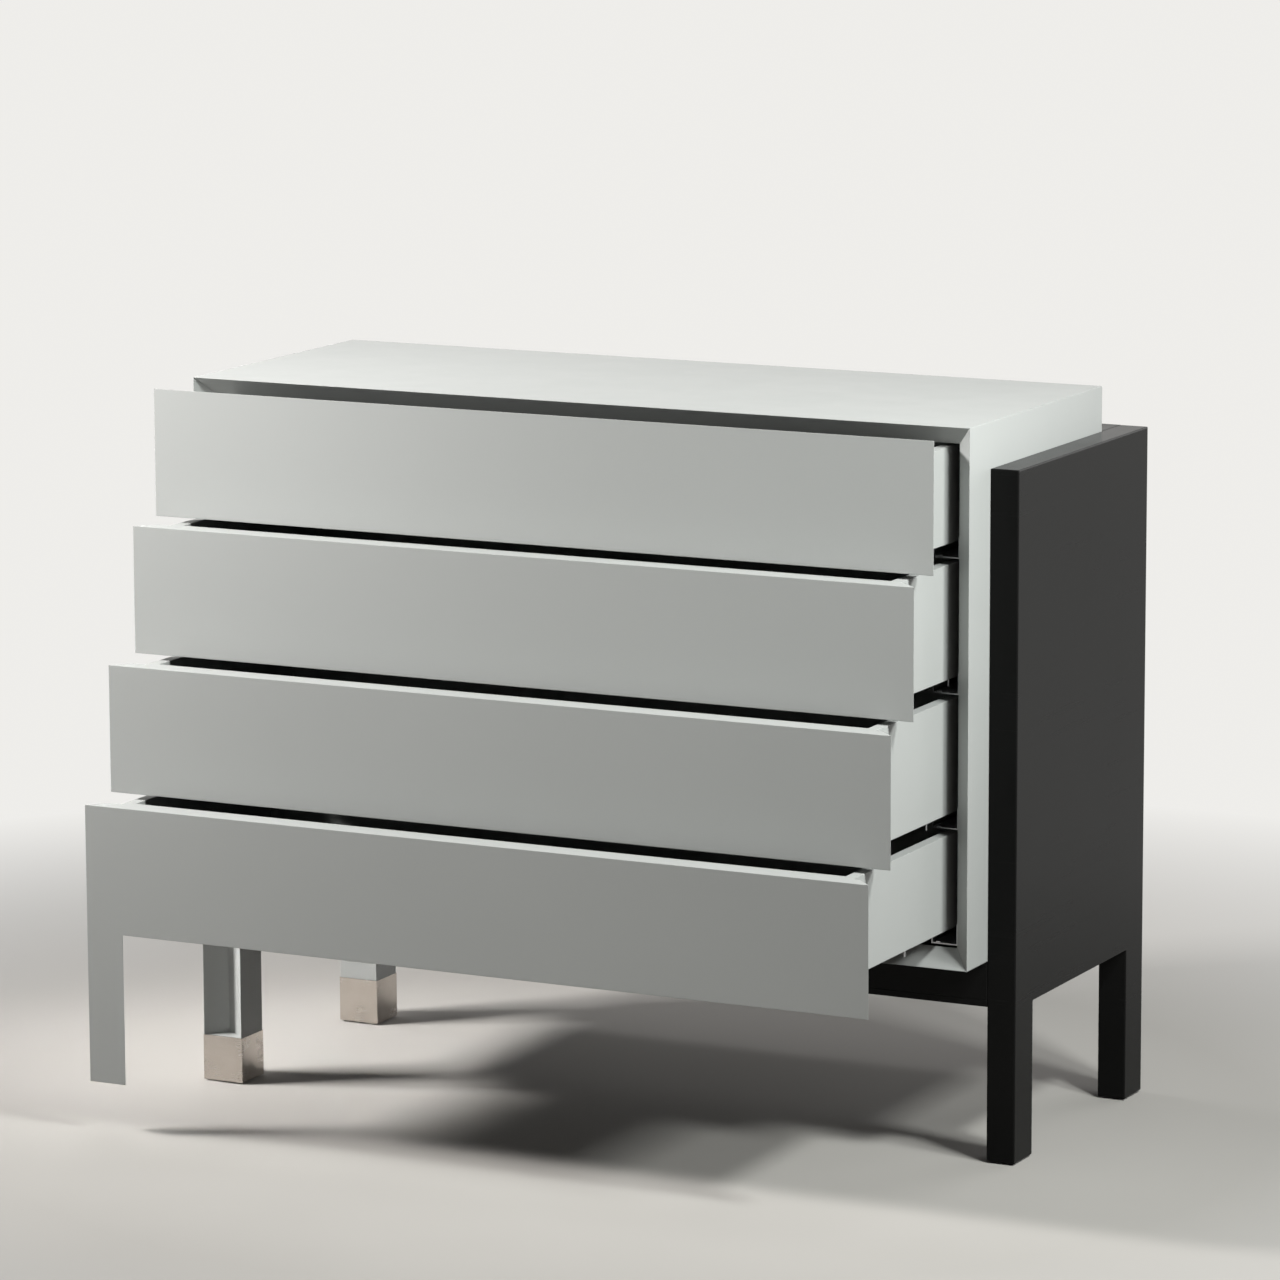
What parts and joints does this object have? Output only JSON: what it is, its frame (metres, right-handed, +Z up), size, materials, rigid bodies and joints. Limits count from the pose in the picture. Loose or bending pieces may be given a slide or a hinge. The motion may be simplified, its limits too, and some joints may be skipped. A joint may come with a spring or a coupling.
{
  "type": "chest on chest",
  "caption": "Chest of drawers with bevelled handleless fronts in a grey carcase, set into a black stand that wraps its base, back and right end, with metal shoes on the left legs.",
  "frame": {"origin": "on the floor, under the middle of the whole part with its drawers drawn out as in the picture", "axes": "+X to the right seen from the front, +Y to the back, +Z up"},
  "size_m": [1.0768, 0.731, 0.888],
  "materials": {
    "grey_lacquer": "light grey satin lacquer",
    "black_lacquer": "black satin lacquer",
    "dark_panel": "dark matt panel",
    "shoe_metal": "brushed",
    "runner_steel": "zinc plated",
    "glide_plastic": "matt"
  },
  "bodies": {
    "chest": {"base_bottom_skin": "black_lacquer", "base_front_rail": "black_lacquer", "base_left_rail": "black_lacquer", "base_middle_rail": "black_lacquer", "base_rear_rail": "black_lacquer", "base_right_rail": "black_lacquer", "base_top_skin": "black_lacquer", "carcase_back": "grey_lacquer", "carcase_bottom": "grey_lacquer", "carcase_left_side": "grey_lacquer", "carcase_right_side": "grey_lacquer", "carcase_top": "grey_lacquer", "drawer_1_cabinet_runners": "runner_steel", "drawer_2_cabinet_runners": "runner_steel", "drawer_3_cabinet_runners": "runner_steel", "drawer_4_cabinet_runners": "runner_steel", "end_panel": "black_lacquer", "foot_glides": "glide_plastic", "front_left_leg": "grey_lacquer", "front_left_shoe": "shoe_metal", "rear_left_leg": "grey_lacquer", "rear_left_shoe": "shoe_metal", "rear_panel_bottom_rail": "black_lacquer", "rear_panel_front_skin": "black_lacquer", "rear_panel_left_rail": "black_lacquer", "rear_panel_rear_skin": "black_lacquer", "rear_panel_right_rail": "black_lacquer", "rear_panel_top_rail": "black_lacquer"},
    "drawer_1": {"drawer_1_bottom": "dark_panel", "drawer_1_box_back": "grey_lacquer", "drawer_1_box_front": "grey_lacquer", "drawer_1_drawer_runners": "runner_steel", "drawer_1_front": "grey_lacquer", "drawer_1_left_side": "grey_lacquer", "drawer_1_right_side": "grey_lacquer"},
    "drawer_2": {"drawer_2_bottom": "dark_panel", "drawer_2_box_back": "grey_lacquer", "drawer_2_box_front": "grey_lacquer", "drawer_2_drawer_runners": "runner_steel", "drawer_2_front": "grey_lacquer", "drawer_2_left_side": "grey_lacquer", "drawer_2_right_side": "grey_lacquer"},
    "drawer_3": {"drawer_3_bottom": "dark_panel", "drawer_3_box_back": "grey_lacquer", "drawer_3_box_front": "grey_lacquer", "drawer_3_drawer_runners": "runner_steel", "drawer_3_front": "grey_lacquer", "drawer_3_left_side": "grey_lacquer", "drawer_3_right_side": "grey_lacquer"},
    "drawer_4": {"drawer_4_bottom": "dark_panel", "drawer_4_box_back": "grey_lacquer", "drawer_4_box_front": "grey_lacquer", "drawer_4_drawer_runners": "runner_steel", "drawer_4_front": "grey_lacquer", "drawer_4_left_side": "grey_lacquer", "drawer_4_right_side": "grey_lacquer"},
    "middle_runners_1": {"drawer_1_middle_runners": "runner_steel"},
    "middle_runners_2": {"drawer_2_middle_runners": "runner_steel"},
    "middle_runners_3": {"drawer_3_middle_runners": "runner_steel"},
    "middle_runners_4": {"drawer_4_middle_runners": "runner_steel"}
  },
  "joints": [
    {"name": "drawer_1_slide", "type": "slide", "parent": "chest", "child": "drawer_1", "axis": [0, -1, 0], "range_m": [-0.097, 0.223]},
    {"name": "drawer_2_slide", "type": "slide", "parent": "chest", "child": "drawer_2", "axis": [0, -1, 0], "range_m": [-0.151, 0.169]},
    {"name": "drawer_3_slide", "type": "slide", "parent": "chest", "child": "drawer_3", "axis": [0, -1, 0], "range_m": [-0.213, 0.107]},
    {"name": "drawer_4_slide", "type": "slide", "parent": "chest", "child": "drawer_4", "axis": [0, -1, 0], "range_m": [-0.273, 0.047]},
    {"name": "middle_runners_1_slide", "type": "slide", "parent": "chest", "child": "middle_runners_1", "axis": [0, -1, 0], "range_m": [-0.0485, 0.1115]},
    {"name": "middle_runners_2_slide", "type": "slide", "parent": "chest", "child": "middle_runners_2", "axis": [0, -1, 0], "range_m": [-0.0755, 0.0845]},
    {"name": "middle_runners_3_slide", "type": "slide", "parent": "chest", "child": "middle_runners_3", "axis": [0, -1, 0], "range_m": [-0.1065, 0.0535]},
    {"name": "middle_runners_4_slide", "type": "slide", "parent": "chest", "child": "middle_runners_4", "axis": [0, -1, 0], "range_m": [-0.1365, 0.0235]}
  ],
  "couplings": [
    {"joint": "middle_runners_1_slide", "follows": "drawer_1_slide", "ratio": 0.5},
    {"joint": "middle_runners_2_slide", "follows": "drawer_2_slide", "ratio": 0.5},
    {"joint": "middle_runners_3_slide", "follows": "drawer_3_slide", "ratio": 0.5},
    {"joint": "middle_runners_4_slide", "follows": "drawer_4_slide", "ratio": 0.5}
  ]
}
